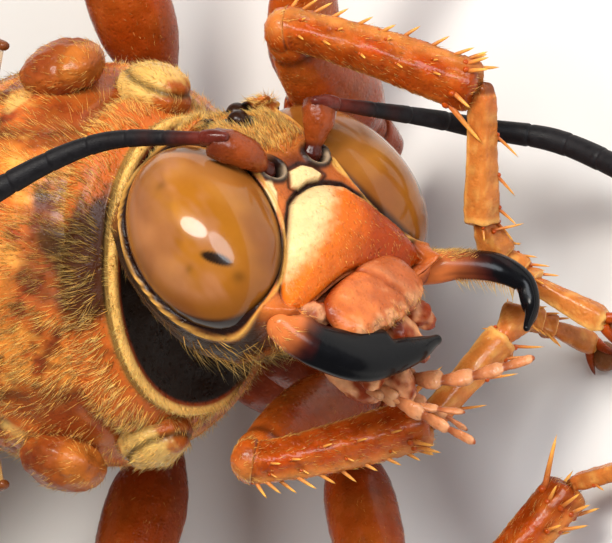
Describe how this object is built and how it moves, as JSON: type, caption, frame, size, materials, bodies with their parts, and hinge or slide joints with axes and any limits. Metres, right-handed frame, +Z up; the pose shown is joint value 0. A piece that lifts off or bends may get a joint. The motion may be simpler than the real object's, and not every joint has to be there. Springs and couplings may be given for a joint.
{
  "type": "cicada killer wasp model",
  "caption": "Life-size still model of a large solitary wasp standing on the floor and grooming its turned head with a raised front foot, wings folded back over a banded abdomen.",
  "frame": {"origin": "middle of the bounding box's underside, at floor level under the feet", "axes": "+X to the wasp's left, -Y forward along the body, +Z up from the floor"},
  "size_m": [0.0278, 0.0456, 0.0151],
  "materials": {
    "amber_shell": "glossy orange-brown shell with fine pale hair",
    "rust_shell": "satin red-brown shell under short golden hair",
    "dark_shell": "near-black shell, satin",
    "yellow_shell": "satin pale yellow shell with golden hair",
    "banded_shell": "glossy red-brown and black with pale yellow bands",
    "eye_lens": "polished amber with smoky marks",
    "feeler": "matt black with a fine grey bloom",
    "mandible": "polished black, orange-brown at the base",
    "mouthparts": "pale orange, slightly translucent",
    "wing_membrane": "thin amber membrane with brown veins",
    "leg_shell": "clear glossy orange-brown with golden spines"
  },
  "bodies": {
    "root": {"head": "amber_shell", "labrum": "amber_shell", "eye_left": "eye_lens", "eye_right": "eye_lens", "mandible_left": "mandible", "mandible_right": "mandible", "mouthparts": "mouthparts", "scape_left": "rust_shell", "scape_right": "rust_shell", "flagellum_inner_left": "feeler", "flagellum_inner_right": "feeler", "flagellum_outer_left": "feeler", "flagellum_outer_right": "feeler", "neck": "dark_shell", "pronotum": "yellow_shell", "propleura": "dark_shell", "thorax": "rust_shell", "scutellum": "rust_shell", "propodeum": "rust_shell", "tegula_left": "amber_shell", "tegula_right": "amber_shell", "forewing_left": "wing_membrane", "forewing_right": "wing_membrane", "hindwing_left": "wing_membrane", "hindwing_right": "wing_membrane", "abdomen_1": "banded_shell", "abdomen_2": "banded_shell", "abdomen_3": "banded_shell", "abdomen_4": "banded_shell", "abdomen_5": "banded_shell", "abdomen_6": "banded_shell", "coxa_fore_left": "rust_shell", "coxa_fore_right": "rust_shell", "coxa_mid_left": "rust_shell", "coxa_mid_right": "rust_shell", "coxa_hind_left": "rust_shell", "coxa_hind_right": "rust_shell", "femur_fore_left": "leg_shell", "femur_fore_right": "leg_shell", "femur_mid_left": "leg_shell", "femur_mid_right": "leg_shell", "femur_hind_left": "leg_shell", "femur_hind_right": "leg_shell", "tibia_fore_left": "leg_shell", "tibia_fore_right": "leg_shell", "tibia_mid_left": "leg_shell", "tibia_mid_right": "leg_shell", "tibia_hind_left": "leg_shell", "tibia_hind_right": "leg_shell", "tarsus_fore_left": "leg_shell", "tarsus_fore_right": "leg_shell", "tarsus_mid_left": "leg_shell", "tarsus_mid_right": "leg_shell", "tarsus_hind_left": "leg_shell", "tarsus_hind_right": "leg_shell"}
  },
  "joints": []
}
